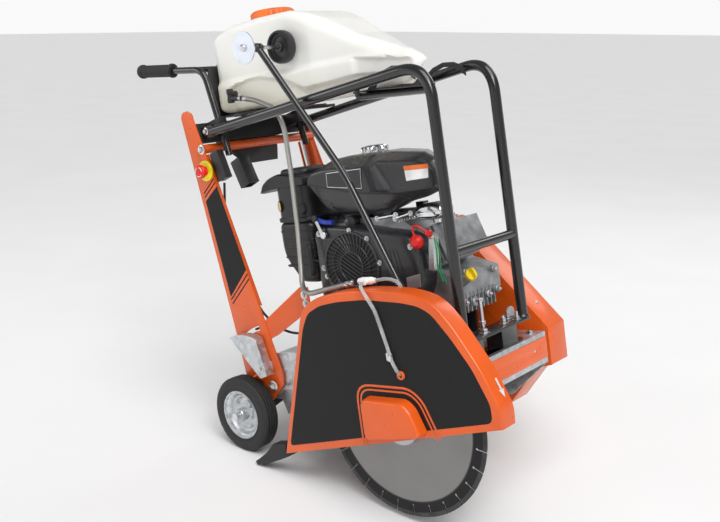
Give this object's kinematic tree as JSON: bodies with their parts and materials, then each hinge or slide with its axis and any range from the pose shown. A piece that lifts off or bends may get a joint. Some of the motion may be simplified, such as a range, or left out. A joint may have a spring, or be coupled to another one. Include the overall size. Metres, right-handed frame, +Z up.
{
  "type": "walk-behind concrete floor saw",
  "caption": "Petrol floor saw on four wheels with a guarded diamond blade, belt drive, water tank, handlebar and swing-down cut-line pointer.",
  "frame": {"origin": "middle of the footprint's bounding box, on the floor", "axes": "+X forward in the cutting direction, +Y to the operator's left (belt side), +Z up"},
  "size_m": [1.293, 0.608, 1.14],
  "materials": {
    "black_steel": "semi-gloss black powder coat",
    "orange_steel": "satin orange powder coat",
    "zinc": "galvanised",
    "bright_steel": "bright plated",
    "chrome_steel": "polished",
    "tyre_rubber": "matt",
    "rubber_black": "matt",
    "tank_plastic": "translucent cream",
    "black_plastic": "matt moulded",
    "orange_plastic": "satin",
    "yellow_plastic": "gloss",
    "red_plastic": "gloss",
    "cast_alloy": "as cast",
    "grey_cast_iron": "machined",
    "clear_hose": "clear tube",
    "brass_nut": "machined"
  },
  "bodies": {
    "wheel_carriage": {"wheel_frame": "black_steel", "axles": "bright_steel"},
    "saw_frame": {"chassis": "zinc", "front_plate": "orange_steel", "engine_base": "black_steel", "rear_post_near": "orange_steel", "rear_post_far": "orange_steel", "post_tie": "orange_steel", "depth_scale": "zinc", "console": "black_steel", "tube_frame": "black_steel", "front_bracket": "black_steel", "frame_bolts": "bright_steel", "tank_tray": "black_steel", "water_tank": "tank_plastic", "water_hose": "bright_steel", "hose_fittings": "black_plastic", "spray_hoses": "clear_hose", "blade_guard": "orange_steel", "guard_flap": "rubber_black", "belt_guard": "orange_steel", "belt_guard_back": "orange_steel", "shaft_bearings": "grey_cast_iron", "engine_block": "cast_alloy", "fan_housing": "black_plastic", "fuel_tank": "black_steel", "air_cleaner": "black_plastic", "muffler": "chrome_steel", "drive_belt": "rubber_black", "switch_box": "black_plastic", "stop_ring": "yellow_plastic", "stop_cable": "rubber_black"},
    "rear_wheel_near": {"rear_rim_near": "zinc", "rear_tyre_near": "tyre_rubber"},
    "rear_wheel_far": {"rear_rim_far": "zinc", "rear_tyre_far": "tyre_rubber"},
    "front_wheel_near": {"front_rim_near": "zinc", "front_tyre_near": "tyre_rubber"},
    "front_wheel_far": {"front_rim_far": "zinc", "front_tyre_far": "tyre_rubber"},
    "blade_rotor": {"blade_shaft": "bright_steel", "saw_blade": "bright_steel", "blade_segments": "grey_cast_iron", "blade_flanges": "bright_steel", "driven_pulley": "grey_cast_iron"},
    "crank_rotor": {"crankshaft": "bright_steel", "crank_pulley": "grey_cast_iron"},
    "tank_cap_body": {"tank_cap": "orange_plastic"},
    "fuel_cap_body": {"fuel_cap": "chrome_steel"},
    "dipstick_body": {"dipstick": "yellow_plastic"},
    "recoil_body": {"recoil_handle": "black_plastic"},
    "throttle_body": {"throttle_lever": "black_plastic"},
    "handlebar_body": {"handlebar": "black_steel", "grips": "rubber_black"},
    "stop_button_body": {"stop_button": "red_plastic"},
    "pointer_body": {"pointer_arm": "black_steel"},
    "pointer_wheel_body": {"pointer_wheel": "black_plastic"},
    "pointer_disc_body": {"pointer_disc": "bright_steel"},
    "depth_spindle_body": {"depth_spindle": "bright_steel"},
    "spindle_nut_body": {"spindle_nut": "brass_nut"}
  },
  "joints": [
    {"name": "rear_near_roll", "type": "hinge", "parent": "wheel_carriage", "child": "rear_wheel_near", "pos_m": [-0.1731, -0.2135, 0.1], "axis": [0, 1, 0], "continuous": true},
    {"name": "rear_far_roll", "type": "hinge", "parent": "wheel_carriage", "child": "rear_wheel_far", "pos_m": [-0.1731, 0.2615, 0.1], "axis": [0, 1, 0], "continuous": true},
    {"name": "front_near_roll", "type": "hinge", "parent": "wheel_carriage", "child": "front_wheel_near", "pos_m": [0.2369, -0.12, 0.08], "axis": [0, 1, 0], "continuous": true},
    {"name": "front_far_roll", "type": "hinge", "parent": "wheel_carriage", "child": "front_wheel_far", "pos_m": [0.2369, 0.032, 0.08], "axis": [0, 1, 0], "continuous": true},
    {"name": "depth_tilt", "type": "hinge", "parent": "wheel_carriage", "child": "saw_frame", "pos_m": [-0.09212, 0.0215, 0.18798], "axis": [0, 1, 0], "range_deg": [0, 23.4]},
    {"name": "blade_spin", "type": "hinge", "parent": "saw_frame", "child": "blade_rotor", "pos_m": [0.3619, -0.236, 0.24], "axis": [0, 1, 0], "continuous": true},
    {"name": "crank_spin", "type": "hinge", "parent": "saw_frame", "child": "crank_rotor", "pos_m": [0.13725, 0.164, 0.53661], "axis": [0, 1, 0], "continuous": true},
    {"name": "tank_cap_turn", "type": "hinge", "parent": "saw_frame", "child": "tank_cap_body", "pos_m": [-0.27396, 0.014, 1.11033], "axis": [-0.1788, 0, 0.9839], "range_deg": [0, 120]},
    {"name": "fuel_cap_turn", "type": "hinge", "parent": "saw_frame", "child": "fuel_cap_body", "pos_m": [0.11491, -0.036, 0.80494], "axis": [-0.1788, 0, 0.9839], "range_deg": [0, 90]},
    {"name": "dipstick_turn", "type": "hinge", "parent": "saw_frame", "child": "dipstick_body", "pos_m": [0.42507, -0.078, 0.55233], "axis": [0.7525, -0.1989, 0.6278], "range_deg": [0, 180]},
    {"name": "recoil_pull", "type": "slide", "parent": "saw_frame", "child": "recoil_body", "axis": [-1, 0, -0.0049], "range_m": [0, 0.2], "stiffness_N_per_m": 40, "springref_m": -0.1},
    {"name": "throttle_turn", "type": "hinge", "parent": "saw_frame", "child": "throttle_body", "pos_m": [0.0521, -0.152, 0.60245], "axis": [0, 1, 0], "range_deg": [0, 45]},
    {"name": "handlebar_height", "type": "slide", "parent": "saw_frame", "child": "handlebar_body", "axis": [-0.3875, 0, 0.9219], "range_m": [0, 0.06]},
    {"name": "stop_press", "type": "slide", "parent": "saw_frame", "child": "stop_button_body", "axis": [0, 1, 0], "range_m": [0, 0.004], "stiffness_N_per_m": 1500, "springref_m": -0.004},
    {"name": "pointer_swing", "type": "hinge", "parent": "saw_frame", "child": "pointer_body", "pos_m": [0.44277, -0.201, 0.3543], "axis": [0, 1, 0], "range_deg": [0, 149]},
    {"name": "pointer_wheel_roll", "type": "hinge", "parent": "pointer_body", "child": "pointer_wheel_body", "pos_m": [-0.10689, -0.124, 1.04109], "axis": [0, 1, 0], "continuous": true},
    {"name": "pointer_disc_roll", "type": "hinge", "parent": "pointer_body", "child": "pointer_disc_body", "pos_m": [-0.10689, -0.2475, 1.04109], "axis": [0, 1, 0], "continuous": true},
    {"name": "depth_crank", "type": "hinge", "parent": "saw_frame", "child": "depth_spindle_body", "pos_m": [-0.16632, 0.213, 0.17854], "axis": [-0.3247, 0, 0.9458], "range_deg": [-10, 2750]},
    {"name": "nut_travel", "type": "slide", "parent": "saw_frame", "child": "spindle_nut_body", "axis": [0.3247, 0, -0.9458], "range_m": [-0.0005, 0.0315]}
  ],
  "couplings": [
    {"joint": "crank_spin", "follows": "blade_spin", "ratio": 1.3095},
    {"joint": "depth_crank", "follows": "depth_tilt", "ratio": 116.68},
    {"joint": "nut_travel", "follows": "depth_tilt", "m_per_rad": 0.07428}
  ]
}
